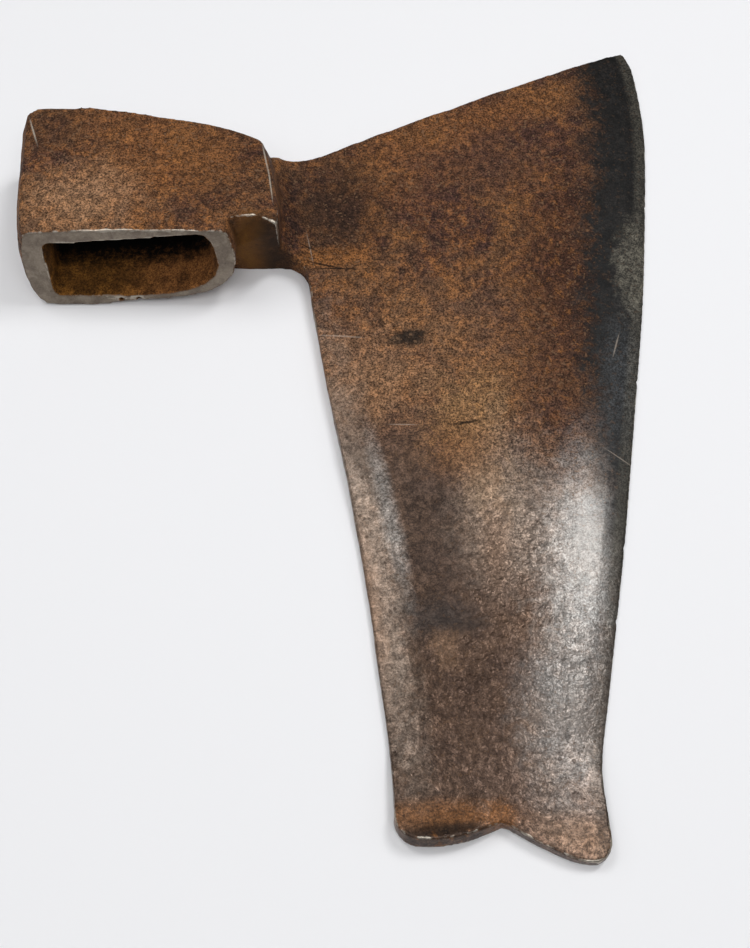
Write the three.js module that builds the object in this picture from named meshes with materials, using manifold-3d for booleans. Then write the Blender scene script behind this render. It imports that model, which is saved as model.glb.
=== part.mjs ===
import * as THREE from "three";
import { mergeVertices } from "three/addons/utils/BufferGeometryUtils.js";
import Module from "manifold-3d";

// Goosewing axe head, forged in one piece, lying on its flat back with the bevelled side up.
// Millimetres. X runs from the poll to the cutting edge, with 0 at the shoulder of the socket.
// Y runs from the heel to the toe, with 0 at the foot of the mouth. Z is up from the flat back.
// The outlines are free forms, so their places are percents of the sizes that are named here.

// Main sizes
const BLADE_REACH = 160.5; // from the shoulder to the cutting edge
const TOE_REACH = 134.7; // from the mouth to the toe
const HEEL_REACH = 231.8; // from the mouth to the heel
const NECK_LENGTH = 16.9; // from the shoulder to the socket
const SOCKET_LENGTH = 74.6; // from the mouth to the far end

// Eye and the walls round it, at the mouth and at the far end
const EYE_WIDTH = 70.3;
const EYE_HEIGHT = 35;
const NECK_WALL = 7.3;
const POLL_WALL = 9.8;
const TOP_WALL = 2.6;
const BOTTOM_WALL = 5.6;
const FAR_EYE_WIDTH = 57;
const FAR_EYE_HEIGHT = 25.2;
const FAR_NECK_WALL = 20.8;
const FAR_POLL_WALL = 15;
const FAR_TOP_WALL = 6.2;
const FAR_BOTTOM_WALL = 7.2;
const FAR_SET_BACK = 0.9; // the far end starts this much further from the shoulder than the mouth

// Neck: from inside the socket to the shoulder
const NECK_DEPTH = 18.8; // from the mouth to its near face
const NECK_INSIDE = 19.1; // how far it runs on inside the socket
const NECK_HOLLOW = 3.6; // the upper near arris is an arch, nearest the mouth at both its ends
const NECK_HOLLOW_MID = 0.58; // middle and half width of the arch, as shares of the neck's length
const NECK_HOLLOW_HALF = 0.52;
const NECK_HOLLOW_MOST = 1.3; // the arch's ends rise to this share of the hollow
const NECK_ROOT = 0.905; // the far edge of the blade starts at this share of the socket's length
const ROOT_Y = NECK_ROOT * SOCKET_LENGTH;
const TOP_FALL = 0.072; // fall of the top face per millimetre of Y
const TOP_DROOP = 3.4; // the top face rolls over by this much at the shoulder
const TOP_DROOP_INSIDE = 9.1; // and starts to roll this far inside the socket
const SHOULDER_NEAR = 0.6; // X of the shoulder's upper arris at the near face
const SHOULDER_SWEEP = 8.5; // and how far it moves towards the poll at the far face
const SHOULDER_ROUNDING = 0.7; // how far the arris is worn down
const SHOULDER_HOLLOW = 0.5; // how far the foot of the shoulder stands out
const SHOULDER_TURN = 0.3; // share of the height below which the shoulder is upright
const VALLEY_NEAR = 0.4; // X of the foot of the shoulder at the near face
const VALLEY_SWEEP = 5.4;
const VALLEY_HEIGHT = 8;
const VALLEY_OUT = 0.6;

// Blade in plan: X in percent of its reach, Y in percent of the toe's reach, or below 0 of the heel's
const CUTTING_EDGE = [
  [96.3, 99.6], [97.9, 95.7], [99.3, 83.1], [100, 67.6], [99.5, 52.5], [97.3, 22],
  [95, -2.1], [90.6, -23.7], [86, -45.7], [82.1, -62], [78.9, -74.9], [76.8, -82.8],
  [76.3, -87.1], [76.8, -91.5], [77.4, -96.3],
];
const HEEL_RIGHT_LOBE = [
  [77.4, -97.1], [76.5, -98.8], [74.3, -100], [71.8, -100], [68.3, -99.4],
  [61.4, -97.2], [58, -95.9], [55.5, -95],
];
const HEEL_NOTCH = [53.6, -94.4];
const HEEL_LEFT_LOBE = [
  [51.6, -94.9], [47.2, -96.3], [43.7, -97.1], [40.1, -97.6], [36.6, -97.8], [32.7, -97.4],
  [30.6, -96.2], [29.6, -95.1],
];
const BACK_EDGE = [
  [29.2, -93.6], [29.2, -90.2], [28.2, -82.8], [26.2, -71.9], [23.9, -60], [21.2, -47.8],
  [17.8, -34.6], [13.8, -21.7], [11, -10.6], [8.9, -2.8],
];
const TOE_TIP = [95.3, 100];
// worn corner between the back edge and the neck: X in percent of its reach, and Y in percent of
// its length, short of the neck's near face
const CORNER_REACH = 12.8;
const CORNER_LENGTH = 14;
const NECK_CORNER = [[100, 100], [93.8, 66.4], [82.8, 41.4], [64.8, 21.4], [35.9, 5.7], [-7.8, 0]];
// far edge: X in percent of the reach, Y in percent of the way from its root to the toe
const FAR_EDGE = [
  [-1.9, 0], [1.2, 0], [6.5, 3.4], [13.7, 11.5], [22.4, 22.3], [46.7, 49.3], [70.2, 74], [93.8, 98.4],
];
const HIDDEN_END = 0.7; // the blade's slab ends inside the neck, at this share of its length

// Blade in thickness
const BACK_THICKNESS = 7;
const EDGE_THICKNESS = 1.2;
const BEVEL_WIDTH = 10;
const BEVEL_THICKNESS = 3.4; // at the inner line of the bevel
const ROOT_RISE = 6; // broad swelling towards the neck
const ROOT_REACH = 14;
const FILLET_RISE = 7; // tight hollow at the foot of the shoulder
const FILLET_REACH = 2.5;
const ROOT_NEAR_INSET = 2.2; // the line that the swelling is measured from stops short of both faces
const ROOT_FAR_INSET = 3.5;
const ROOT_LEAN = 3; // and leans this far towards the poll

// The slab that gives the thickness runs past the outline by these lengths
const SLAB_PAST_EDGE = 7;
const SLAB_PAST_ROOT = 16.4;
const SLAB_PAST_TOE = 9.3;
const SLAB_PAST_HEEL = 8.2;

// Long hollowed chamfer on the back edge: it starts and deepens at these distances from the mouth,
// and fades and ends at these distances from the end of the heel
const CHAMFER_START = 62;
const CHAMFER_FULL = 112;
const CHAMFER_FADE = 45.8;
const CHAMFER_END = 25.8;
const CHAMFER_WIDTH = 12;
const CHAMFER_LEAST = 3;
const CHAMFER_LIP = 3.4; // thickness left along the outer line

// Heel: blunt edge, left lobe bent up more than the right one, at distances from its end
const BLUNT_START = 49.8;
const BLUNT_FULL = 25.8;
const BLUNT_THICKNESS = 4.4;
const BLUNT_BEVEL_THICKNESS = 5;
const BEND_START = 27.8;
const BEND_LENGTH = 22;
const LEFT_BEND_DEGREES = 19;
const RIGHT_BEND_DEGREES = 4;
const TWIST_HALF = 6.5; // the two lobes meet over this much on each side of the notch

// Socket at the mouth: percents of its width away from the neck and of its height up the canted
// mouth plane, from the bottom round past the neck, the top and the poll
const MOUTH_CANT_DEGREES = 12;
const MOUTH_FOOT = 0.5; // Y where the mouth plane meets the table
const MOUTH_OUTLINE = [
  [85.1, 0], [71.1, 2.1], [57.2, 4.9], [42.4, 8.1], [26.9, 11.8], [15, 19], [6.6, 29.6],
  [1.7, 41.7], [0.1, 55.8], [0, 69.7], [1.3, 84.5], [2.9, 95.8], [5.4, 99.3],
  [26.4, 100], [50.5, 100], [72.2, 99.1], [94.4, 96.8], [96.7, 93.5], [99.2, 75.9],
  [100, 60.9], [99.7, 40], [98.5, 22.9], [96.3, 9.5], [93.5, 2.5],
];
const FAR_OUTLINE = [
  [79.2, 2.6], [65.9, 1.6], [52.9, 1], [39, 1], [24.4, 1], [13.1, 1.6], [5.6, 6.5],
  [1.8, 18.1], [0.2, 38.9], [0, 57], [0.1, 72.5], [0.4, 84.2], [2.8, 95.9],
  [23.9, 99.2], [46.6, 100], [67, 100], [91.2, 98.4], [95.3, 94.8], [99.1, 75.1],
  [100, 57], [99.4, 36.3], [97.2, 19.7], [93.3, 8.8], [87.7, 4.1],
];
const POLL_BULGE = 1.8; // extra belly of the poll wall a third of the way in
const POLL_PART = 90; // percent of the width from which the outline is the poll wall
const BOTTOM_SETTLE = 0.3; // share of the length over which the bottom comes down to the table
const BOTTOM_PART = 38; // percent of the height up to which the outline is the bottom

// Far end of the socket and neck: the upper arris in plan, X in percent of the far width away from
// the neck and Y in percent of the socket's length, and how far the foot runs past the arris
const FAR_ARRIS = [
  [100, 88.5], [97.6, 94.4], [93.3, 98.7], [84.6, 100], [70.7, 99.7], [56.8, 98.3],
  [42.7, 95.4], [28.8, 92.5], [14.8, 88.7], [2.7, 84], [-3.9, 80.7], [-10.9, 77.5],
];
const FAR_SLANT_POLL = 2;
const FAR_SLANT_NECK = 13;
const FAR_SLANT_FROM = 67; // percent of the far width at which the slant starts to grow

// Eye: percents of its width away from the neck's side and of its height, from the bottom round
const EYE_OUTLINE = [
  [96.9, 2], [72, 0], [49.1, 2.3], [29.2, 6.6], [18.8, 11.7], [10, 20],
  [3.1, 33.7], [0, 51.4], [0.7, 69.4], [2.7, 88], [6.3, 97.7], [10.7, 100],
  [29.7, 96], [53.5, 91.7], [78, 87.1], [97, 85.1], [99.7, 79.4], [100, 65.7],
  [99.6, 38], [99, 8],
];
const FAR_EYE_OUTLINE = [
  [95.4, 4.8], [72.6, 0.8], [51.6, 0], [32.3, 2.4], [20, 5.6], [10.4, 13.5],
  [3.2, 27], [0, 45.2], [0.7, 62.7], [3.5, 80.2], [8.8, 92.1], [14.7, 96.8],
  [34, 99.2], [53.3, 100], [72.6, 99.2], [93.7, 96.8], [98.6, 90.5], [100, 74.6],
  [100, 42.9], [98.6, 12.7],
];
const EYE_PAST = 0.14; // the cutting body runs past both ends by this share of the length

const IRON = new THREE.MeshStandardMaterial({ color: 0x4a372b, metalness: 0.7, roughness: 0.6 });

const wasm = await Module();
wasm.setup();

const lerp = THREE.MathUtils.lerp;
const ramp = (from, to, v) => THREE.MathUtils.clamp((v - from) / (to - from), 0, 1);
const smooth = (from, to, v) => {
  const k = ramp(from, to, v);
  return k * k * (3 - 2 * k);
};

const share = (percent) => percent / 100;

function curve(points) {
  return new THREE.SplineCurve(points.map(([x, y]) => new THREE.Vector2(x, y)));
}

// Blade: the place in plan that a pair of percents stands for.
function onBlade([x, y]) {
  return [share(x) * BLADE_REACH, share(y) * (y > 0 ? TOE_REACH : HEEL_REACH)];
}

function onCorner([x, y]) {
  return [share(x) * CORNER_REACH, NECK_DEPTH - share(y) * CORNER_LENGTH];
}

function onFarEdge([x, y]) {
  return [share(x) * BLADE_REACH, lerp(ROOT_Y, TOE_REACH, share(y))];
}

// Blade: Y of a place that far from the end of the heel.
function fromHeel(distance) {
  return distance - HEEL_REACH;
}

// Socket and eye: frames that the percents of an outline are taken in.
const MOUTH = {
  side: NECK_LENGTH,
  width: NECK_WALL + EYE_WIDTH + POLL_WALL,
  foot: 0,
  height: BOTTOM_WALL + EYE_HEIGHT + TOP_WALL,
};
const FAR = {
  side: NECK_LENGTH + FAR_SET_BACK,
  width: FAR_NECK_WALL + FAR_EYE_WIDTH + FAR_POLL_WALL,
  foot: 0,
  height: FAR_BOTTOM_WALL + FAR_EYE_HEIGHT + FAR_TOP_WALL,
};
const UPRIGHT = Math.cos(THREE.MathUtils.degToRad(MOUTH_CANT_DEGREES));
const MOUTH_TOP = MOUTH.height * UPRIGHT;
const EYE = { side: MOUTH.side + NECK_WALL, width: EYE_WIDTH, foot: BOTTOM_WALL, height: EYE_HEIGHT };
const FAR_EYE = {
  side: FAR.side + FAR_NECK_WALL,
  width: FAR_EYE_WIDTH,
  foot: FAR_BOTTOM_WALL,
  height: FAR_EYE_HEIGHT,
};

function across(percent, frame) {
  return -frame.side - share(percent) * frame.width;
}

function section(outline, frame) {
  return outline.map(([x, z]) => [across(x, frame), frame.foot + share(z) * frame.height]);
}

// A closed solid from a geometry.
function solid(geometry) {
  const bare = geometry.clone();
  bare.deleteAttribute("normal");
  bare.deleteAttribute("uv");
  const merged = mergeVertices(bare, 1e-4);
  return new wasm.Manifold(
    new wasm.Mesh({
      numProp: 3,
      vertProperties: merged.attributes.position.array,
      triVerts: new Uint32Array(merged.index.array),
    }),
  );
}

// A closed body between two faces that are the same grid of rows and columns.
function slab(rows, columns, under, over) {
  const positions = [];
  const index = [];
  const at = (side, i, j) => (side * rows + i) * columns + j;
  for (const face of [under, over])
    for (let i = 0; i < rows; i++)
      for (let j = 0; j < columns; j++) positions.push(...face(i, j));
  const quad = (a, b, c, d) => index.push(a, b, c, a, c, d);
  for (let i = 0; i + 1 < rows; i++)
    for (let j = 0; j + 1 < columns; j++) {
      quad(at(1, i, j), at(1, i + 1, j), at(1, i + 1, j + 1), at(1, i, j + 1));
      quad(at(0, i, j), at(0, i, j + 1), at(0, i + 1, j + 1), at(0, i + 1, j));
    }
  for (let i = 0; i + 1 < rows; i++) {
    quad(at(0, i, 0), at(0, i + 1, 0), at(1, i + 1, 0), at(1, i, 0));
    quad(at(0, i + 1, columns - 1), at(0, i, columns - 1), at(1, i, columns - 1), at(1, i + 1, columns - 1));
  }
  for (let j = 0; j + 1 < columns; j++) {
    quad(at(0, 0, j + 1), at(0, 0, j), at(1, 0, j), at(1, 0, j + 1));
    quad(at(0, rows - 1, j), at(0, rows - 1, j + 1), at(1, rows - 1, j + 1), at(1, rows - 1, j));
  }
  return grid(positions, index);
}

function grid(positions, index) {
  const geometry = new THREE.BufferGeometry();
  geometry.setAttribute("position", new THREE.Float32BufferAttribute(positions, 3));
  geometry.setIndex(index);
  return geometry;
}

// A closed body through loops of equal count, each a list of Vector3 going round
// anticlockwise when seen from the mouth; the first loop is nearest the mouth.
function loft(loops) {
  const count = loops[0].length;
  const index = [];
  for (let k = 0; k + 1 < loops.length; k++)
    for (let i = 0; i < count; i++) {
      const j = (i + 1) % count;
      const a = k * count;
      const b = a + count;
      index.push(a + i, b + j, a + j, a + i, b + i, b + j);
    }
  const flat = loops[0].map((p) => new THREE.Vector2(p.x, p.z));
  const end = (loops.length - 1) * count;
  const farFlat = loops[loops.length - 1].map((p) => new THREE.Vector2(p.x, p.z));
  for (const [a, b, c] of THREE.ShapeUtils.triangulateShape(flat, [])) index.push(a, b, c);
  for (const [a, b, c] of THREE.ShapeUtils.triangulateShape(farFlat, []))
    index.push(end + a, end + c, end + b);
  return grid(loops.flat().flatMap((p) => [p.x, p.y, p.z]), index);
}

// Heel: how sharply the iron is bent up at a given X, and where a point goes.
function bend(geometry) {
  const p = geometry.attributes.position;
  const start = fromHeel(BEND_START);
  const [notch] = onBlade(HEEL_NOTCH);
  for (let i = 0; i < p.count; i++) {
    const past = start - p.getY(i);
    if (past <= 0) continue;
    const turned = smooth(notch - TWIST_HALF, notch + TWIST_HALF, p.getX(i));
    const degrees = lerp(LEFT_BEND_DEGREES, RIGHT_BEND_DEGREES, turned);
    const radius = BEND_LENGTH / THREE.MathUtils.degToRad(degrees);
    const angle = past / radius;
    p.setY(i, start - (radius - p.getZ(i)) * Math.sin(angle));
    p.setZ(i, radius - (radius - p.getZ(i)) * Math.cos(angle));
  }
  return geometry;
}

// Blade: its outline in plan as an upright block.
function bladeOutline() {
  const hidden = -HIDDEN_END * NECK_LENGTH;
  const points = [
    ...curve(FAR_EDGE.map(onFarEdge)).getPoints(22),
    new THREE.Vector2(...onBlade(TOE_TIP)),
    ...curve(CUTTING_EDGE.map(onBlade)).getSpacedPoints(44),
    ...curve(HEEL_RIGHT_LOBE.map(onBlade)).getSpacedPoints(14),
    new THREE.Vector2(...onBlade(HEEL_NOTCH)),
    ...curve(HEEL_LEFT_LOBE.map(onBlade)).getSpacedPoints(14),
    ...curve([...BACK_EDGE.map(onBlade), ...NECK_CORNER.map(onCorner)]).getSpacedPoints(46),
    new THREE.Vector2(hidden, NECK_DEPTH),
    new THREE.Vector2(hidden, ROOT_Y),
  ];
  const below = 10;
  const above = 34;
  const block = new THREE.ExtrudeGeometry(new THREE.Shape(points.reverse()), {
    depth: below + above,
    bevelEnabled: false,
  });
  return solid(bend(block.translate(0, 0, -below)));
}

// Blade: distance in plan from the line at the foot of the shoulder.
function fromRoot(x, y) {
  const near = new THREE.Vector3(0, NECK_DEPTH + ROOT_NEAR_INSET, 0);
  const far = new THREE.Vector3(-ROOT_LEAN, ROOT_Y - ROOT_FAR_INSET, 0);
  const point = new THREE.Vector3(x, y, 0);
  const closest = new THREE.Line3(near, far).closestPointToPoint(point, true, new THREE.Vector3());
  return closest.distanceTo(point);
}

// Blade: thickness at a point that lies the given distances in from its two edges.
function thickness(x, y, fromEdge, fromBack) {
  const blunt = smooth(fromHeel(BLUNT_START), fromHeel(BLUNT_FULL), y);
  const edge = lerp(EDGE_THICKNESS, BLUNT_THICKNESS, blunt);
  const bevel = lerp(BEVEL_THICKNESS, BLUNT_BEVEL_THICKNESS, blunt);
  const inward = ramp(0, fromEdge + fromBack - BEVEL_WIDTH, fromEdge - BEVEL_WIDTH);
  const body = fromEdge < BEVEL_WIDTH
    ? lerp(edge, bevel, ramp(0, BEVEL_WIDTH, fromEdge))
    : lerp(bevel, BACK_THICKNESS, Math.sqrt(inward));
  const away = Math.max(0, fromRoot(x, y));
  const swelling = ROOT_RISE * Math.exp(-away / ROOT_REACH);
  const fillet = FILLET_RISE * Math.exp(-away / FILLET_REACH);
  const swollen = body + swelling + fillet;
  const cut = chamferDepth(y);
  return lerp(swollen, CHAMFER_LIP, cut * (1 - ramp(0, chamferWidth(y), fromBack)));
}

function chamferDepth(y) {
  const fade = smooth(fromHeel(CHAMFER_FADE), fromHeel(CHAMFER_END), y);
  return smooth(-CHAMFER_START, -CHAMFER_FULL, y) * (1 - fade);
}

function chamferWidth(y) {
  return lerp(CHAMFER_LEAST, CHAMFER_WIDTH, chamferDepth(y));
}

// Blade: the slab whose rows run from the back to the cutting edge, a little past both.
function bladeThickness() {
  const rows = 58;
  const outside = [-25, -20, -16, -13, -10.5, -8, -5.5, -3];
  const pastRidge = [0, 4, 9];
  const inside = [0.16, 0.34, 0.52, 0.7, 0.86];
  const heelEnd = fromHeel(-SLAB_PAST_HEEL);
  const backEdge = BACK_EDGE.map(onBlade);
  const cuttingEdge = CUTTING_EDGE.map(onBlade);
  const back = curve([
    [CORNER_REACH / 3, ROOT_Y + SLAB_PAST_ROOT],
    onCorner(NECK_CORNER[0]),
    ...backEdge.toReversed(),
    [backEdge[0][0], heelEnd],
  ]);
  const edge = curve([
    [onBlade(TOE_TIP)[0], TOE_REACH + SLAB_PAST_TOE],
    ...cuttingEdge.slice(1),
    [cuttingEdge.at(-1)[0], heelEnd],
  ]);
  const cell = (i, j) => {
    const t = i / (rows - 1);
    const b = back.getPointAt(t);
    const e = edge.getPointAt(t);
    const span = b.distanceTo(e);
    const ridge = chamferWidth(b.y);
    const stations = [
      ...outside, 0,
      ...pastRidge.map((past) => ridge + past),
      ...inside.map((k) => lerp(ridge + pastRidge.at(-1), span - BEVEL_WIDTH, k)),
      span - BEVEL_WIDTH, span, span + SLAB_PAST_EDGE,
    ];
    const s = stations[j];
    const p = b.clone().lerp(e, s / span);
    return { p, fromEdge: span - s, fromBack: s };
  };
  const columns = outside.length + 1 + pastRidge.length + inside.length + 3;
  const under = (i, j) => {
    const { p } = cell(i, j);
    return [p.x, p.y, 0];
  };
  const over = (i, j) => {
    const { p, fromEdge, fromBack } = cell(i, j);
    return [p.x, p.y, thickness(p.x, p.y, fromEdge, fromBack)];
  };
  return solid(bend(slab(rows, columns, under, over)));
}

// Y of the mouth plane and of the far face at a given place.
function mouthY(z) {
  return MOUTH_FOOT + z * Math.tan(THREE.MathUtils.degToRad(MOUTH_CANT_DEGREES));
}

function farY(x, z) {
  const arris = FAR_ARRIS.map(([x0, y0]) => [across(x0, FAR), share(y0) * SOCKET_LENGTH]);
  let y = arris[0][1];
  for (let i = 0; i + 1 < arris.length; i++)
    if (x >= arris[i][0]) y = lerp(arris[i][1], arris[i + 1][1], ramp(arris[i][0], arris[i + 1][0], x));
  const slant = lerp(FAR_SLANT_POLL, FAR_SLANT_NECK, ramp(across(FAR_SLANT_FROM, FAR), -NECK_LENGTH, x));
  return y + slant * Math.max(0, 1 - z / FAR.height);
}

// A loft from the mouth to the far end between two sections of equal count.
function alongSocket(mouth, far, stations, start, finish, shape) {
  return loft(
    Array.from({ length: stations }, (_, k) => {
      const t = lerp(start, finish, k / (stations - 1));
      return mouth.map(([x0, height], i) => {
        const [x1, z1] = far[i];
        const p = shape(i, x0, height * UPRIGHT, x1, z1, t);
        return new THREE.Vector3(p.x, lerp(mouthY(p.z), farY(p.x, p.z), t), p.z);
      });
    }),
  );
}

function socket() {
  const shape = (i, x0, z0, x1, z1, t) => {
    const [x, z] = MOUTH_OUTLINE[i];
    const low = z < BOTTOM_PART ? smooth(0, BOTTOM_SETTLE, t) : t;
    const belly = x > POLL_PART ? POLL_BULGE * Math.sin(Math.PI * Math.sqrt(t)) : 0;
    return { x: lerp(x0, x1, t) - belly, z: lerp(z0, z1, low) };
  };
  const mouth = section(MOUTH_OUTLINE, MOUTH);
  const far = section(FAR_OUTLINE, FAR);
  return solid(alongSocket(mouth, far, 13, 0, 1, shape));
}

function eye() {
  const shape = (i, x0, z0, x1, z1, t) => ({ x: lerp(x0, x1, t), z: lerp(z0, z1, t) });
  const mouth = section(EYE_OUTLINE, EYE);
  const far = section(FAR_EYE_OUTLINE, FAR_EYE);
  return solid(alongSocket(mouth, far, 9, -EYE_PAST, 1 + EYE_PAST, shape));
}

// Neck: height of the top face it shares with the socket.
function topZ(x, y) {
  const rolled = ramp(-NECK_LENGTH - TOP_DROOP_INSIDE, 0, x);
  return MOUTH_TOP - TOP_FALL * (y - mouthY(MOUTH_TOP)) - TOP_DROOP * rolled * rolled;
}

// Neck: profiles seen from the mouth, set one behind another from its near face to its far face.
function neck() {
  const stations = 11;
  const tops = [0, 0.35, 0.55, 0.7, 0.8, 0.9, 0.96, 1]; // across the top, from inside the socket
  const wall = [0.95, 0.86, 0.72, 0.56, 0.42]; // down the shoulder, as shares of the height
  const inner = -NECK_LENGTH - NECK_INSIDE;
  const profile = (t) => {
    const arris = SHOULDER_NEAR - SHOULDER_SWEEP * t * t;
    const valley = VALLEY_NEAR - VALLEY_SWEEP * Math.pow(t, 4);
    const y = lerp(NECK_DEPTH, ROOT_Y, t);
    const height = topZ(arris, y);
    const shoulder = wall.toReversed().map((k) => {
      const x = lerp(valley, arris, ramp(SHOULDER_TURN, 1, k));
      return [x + SHOULDER_HOLLOW * (1 - k), k * height];
    });
    const top = tops.toReversed().map((k) => {
      const x = lerp(inner, arris, k);
      return [x, topZ(x, y) - (k === 1 ? SHOULDER_ROUNDING : 0)];
    });
    const foot = [[inner, 0], [inner / 2, 0], [valley, 0], [valley + VALLEY_OUT, VALLEY_HEIGHT]];
    return [...foot, ...shoulder, ...top].map(([x, z]) => {
      const off = (x / NECK_LENGTH + NECK_HOLLOW_MID) / NECK_HOLLOW_HALF;
      const out = Math.min(NECK_HOLLOW_MOST, off * off);
      const near = NECK_DEPTH - NECK_HOLLOW * out * Math.pow(z / MOUTH_TOP, 2);
      return new THREE.Vector3(x, lerp(near, Math.min(ROOT_Y, farY(x, z)), t), z);
    });
  };
  return solid(loft(Array.from({ length: stations }, (_, k) => profile(k / (stations - 1)))));
}

function axeHead() {
  const blade = bladeOutline().intersect(bladeThickness());
  const head = blade.add(neck()).add(socket()).subtract(eye());
  const made = head.getMesh();
  const geometry = grid(Array.from(made.vertProperties), Array.from(made.triVerts));
  geometry.computeBoundingBox();
  const { min, max } = geometry.boundingBox;
  return geometry.translate(-(min.x + max.x) / 2, -(min.y + max.y) / 2, -min.z);
}

const group = new THREE.Group();
const head = new THREE.Mesh(axeHead(), IRON);
head.name = "axe_head";
group.add(head);

export default group;
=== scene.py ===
import math

import bpy
import numpy as np
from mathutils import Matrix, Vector


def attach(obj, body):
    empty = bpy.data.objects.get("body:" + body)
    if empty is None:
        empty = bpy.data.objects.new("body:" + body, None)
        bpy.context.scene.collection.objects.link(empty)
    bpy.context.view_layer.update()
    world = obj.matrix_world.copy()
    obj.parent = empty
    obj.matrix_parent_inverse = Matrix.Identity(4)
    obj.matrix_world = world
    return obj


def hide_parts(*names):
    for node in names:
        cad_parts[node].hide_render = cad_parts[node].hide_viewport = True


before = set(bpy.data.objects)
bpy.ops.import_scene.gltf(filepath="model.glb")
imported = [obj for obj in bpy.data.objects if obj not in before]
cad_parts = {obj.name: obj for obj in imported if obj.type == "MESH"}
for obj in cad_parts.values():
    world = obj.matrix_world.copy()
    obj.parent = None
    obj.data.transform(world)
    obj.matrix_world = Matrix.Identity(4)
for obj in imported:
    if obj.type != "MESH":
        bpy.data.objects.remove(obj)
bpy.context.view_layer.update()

mm = 0.001


# helpers

def linear(red, green, blue):
    # screen colour in 0-255 to a linear one
    def one(v):
        v = v / 255
        return v / 12.92 if v <= 0.04045 else ((v + 0.055) / 1.055) ** 2.4
    return (one(red), one(green), one(blue), 1)


def pick(piece):
    bpy.ops.object.select_all(action="DESELECT")
    piece.select_set(True)
    bpy.context.view_layer.objects.active = piece


def applyModifier(piece, kind, **settings):
    pick(piece)
    modifier = piece.modifiers.new(kind.lower(), kind)
    for name, value in settings.items():
        setattr(modifier, name, value)
    bpy.ops.object.modifier_apply(modifier=modifier.name)


def vectorsOf(mesh, name):
    # one row for each point: its place is "co", its normal "normal"
    flat = np.empty(len(mesh.vertices) * 3, dtype=np.float32)
    mesh.vertices.foreach_get(name, flat)
    return flat.reshape(-1, 3).astype(float)


def setPositions(mesh, points):
    mesh.vertices.foreach_set("co", points.astype(np.float32).ravel())
    mesh.update()


def setAttribute(mesh, name, values):
    layer = mesh.attributes.new(name, "FLOAT", "POINT")
    layer.data.foreach_set("value", np.clip(values, 0, 1).astype(np.float32))


def smoothStep(low, high, v):
    k = np.clip((v - low) / (high - low), 0, 1)
    return k * k * (3 - 2 * k)


def lattice(points, size, seed):
    # smooth random field in -1..1 on a grid of that cell size
    source = np.random.default_rng(seed)
    q = points / size
    base = np.floor(q).astype(int)
    t = q - base
    t = t * t * (3 - 2 * t)
    low = base.min(0)
    span = base.max(0) - low + 2
    table = source.uniform(-1, 1, span)
    i = base - low
    total = np.zeros(len(points))
    for dx in (0, 1):
        for dy in (0, 1):
            for dz in (0, 1):
                weight = (
                    (t[:, 0] if dx else 1 - t[:, 0])
                    * (t[:, 1] if dy else 1 - t[:, 1])
                    * (t[:, 2] if dz else 1 - t[:, 2])
                )
                total += weight * table[i[:, 0] + dx, i[:, 1] + dy, i[:, 2] + dz]
    return total


def waves(points, fields):
    # sum of random fields, each with its height, cell size and seed
    return sum(height * lattice(points, size, seed) for height, size, seed in fields)


def relax(points, edges, passes, keep=0.5):
    # each point moves towards the middle of its neighbours
    count = np.zeros(len(points))
    np.add.at(count, edges[:, 0], 1)
    np.add.at(count, edges[:, 1], 1)
    count = np.maximum(count, 1)[:, None]
    for _ in range(passes):
        total = np.zeros_like(points)
        np.add.at(total, edges[:, 0], points[edges[:, 1]])
        np.add.at(total, edges[:, 1], points[edges[:, 0]])
        points = keep * points + (1 - keep) * total / count
    return points


# shader node groups, with all noise scales per millimetre

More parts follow.
